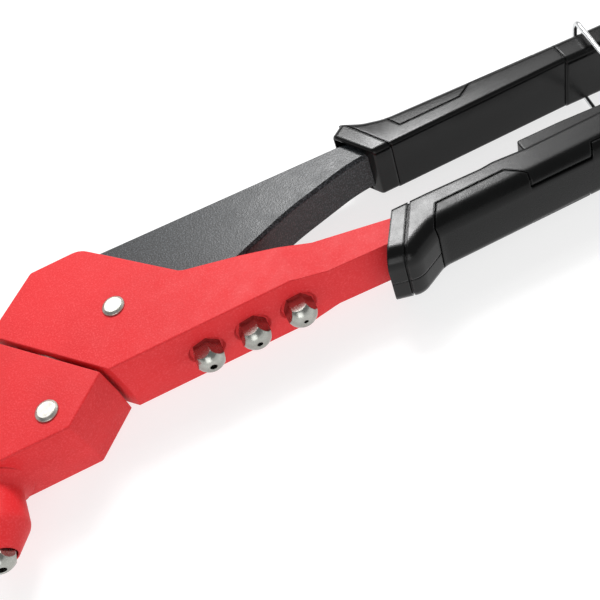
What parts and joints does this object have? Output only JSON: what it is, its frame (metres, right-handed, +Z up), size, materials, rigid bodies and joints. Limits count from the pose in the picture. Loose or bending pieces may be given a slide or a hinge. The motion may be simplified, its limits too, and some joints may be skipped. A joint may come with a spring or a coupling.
{
  "type": "hand riveter",
  "caption": "Two-handled blind rivet tool with a head that swivels on a slanting joint, spare nosepieces held in the body and a wire ring that holds the handles closed",
  "frame": {"origin": "centre of the fitted nosepiece's mouth, on the mandrel axis, at mid thickness", "axes": "the tool lies flat: -Y is the way the nosepiece points, +X runs from the head back along the closed handles, +Y is the side of the moving handle, +Z is up through the thickness"},
  "size_m": [0.2719, 0.0984, 0.0304],
  "materials": {
    "red_casting": "fine textured red powder coat on cast aluminium",
    "lever_paint": "dark grey speckled powder coat on steel",
    "grip_plastic": "moulded black plastic, satin",
    "grip_soft": "overmoulded black soft plastic, matt",
    "nickel_steel": "bright nickel plated steel",
    "plain_steel": "turned or pressed steel, oiled"
  },
  "bodies": {
    "body": {"body_casting": "red_casting", "pivot_rivet": "nickel_steel", "nosepiece_2_4": "nickel_steel", "nosepiece_3_2": "nickel_steel", "nosepiece_4_0": "nickel_steel", "lower_collar": "grip_plastic", "lower_grip_shell": "grip_plastic", "lower_grip_pad": "grip_soft", "latch_catch": "grip_plastic"},
    "lever": {"lever": "lever_paint", "lever_bush": "plain_steel", "rod_pin": "plain_steel", "upper_collar": "grip_plastic", "upper_grip_shell": "grip_plastic", "upper_grip_pad": "grip_soft", "upper_grip_end": "grip_plastic"},
    "ring": {"latch_ring": "nickel_steel"},
    "rod": {"pull_rod": "plain_steel", "rod_spool": "plain_steel"},
    "head": {"head_casting": "red_casting", "swivel_plate": "plain_steel", "swivel_axle": "plain_steel", "swivel_washer": "plain_steel", "crank_rivet": "nickel_steel", "rear_cap": "plain_steel", "nosepiece_4_8": "nickel_steel", "jaw_spring": "plain_steel"},
    "crank": {"bell_crank": "plain_steel"},
    "case": {"jaw_case": "plain_steel"},
    "jaws": {"jaw_left": "plain_steel", "jaw_right": "plain_steel", "jaw_pusher": "plain_steel"}
  },
  "joints": [
    {"name": "lever_hinge", "type": "hinge", "parent": "body", "child": "lever", "pos_m": [0.0583, 0.0638, 0], "axis": [0, 0, 1], "range_deg": [0, 24]},
    {"name": "rod_slide", "type": "slide", "parent": "body", "child": "rod", "axis": [0.7071, 0.7071, 0], "range_m": [-0.007, 0]},
    {"name": "head_swivel", "type": "hinge", "parent": "body", "child": "head", "pos_m": [0.03195, 0.05975, 0], "axis": [0.7071, 0.7071, 0], "continuous": true},
    {"name": "crank_hinge", "type": "hinge", "parent": "head", "child": "crank", "pos_m": [0.0286, 0.0364, 0], "axis": [0, 0, 1], "range_deg": [0, 27]},
    {"name": "case_slide", "type": "slide", "parent": "head", "child": "case", "axis": [0, 1, 0], "range_m": [-0.0136, 0], "deforming": ["jaw_spring"]},
    {"name": "jaw_release", "type": "slide", "parent": "case", "child": "jaws", "axis": [0, 1, 0], "range_m": [0, 0.0025], "stiffness_N_per_m": 400, "springref_m": -0.003, "deforming": ["jaw_spring"]},
    {"name": "ring_hinge", "type": "hinge", "parent": "lever", "child": "ring", "pos_m": [0.2451, 0.0888, 0], "axis": [0, 0, 1], "range_deg": [-6, 100]}
  ],
  "couplings": [
    {"joint": "rod_slide", "follows": "lever_hinge", "m_per_rad": -0.015834},
    {"joint": "crank_hinge", "follows": "lever_hinge", "ratio": 1.1175},
    {"joint": "case_slide", "follows": "lever_hinge", "m_per_rad": -0.032002}
  ]
}
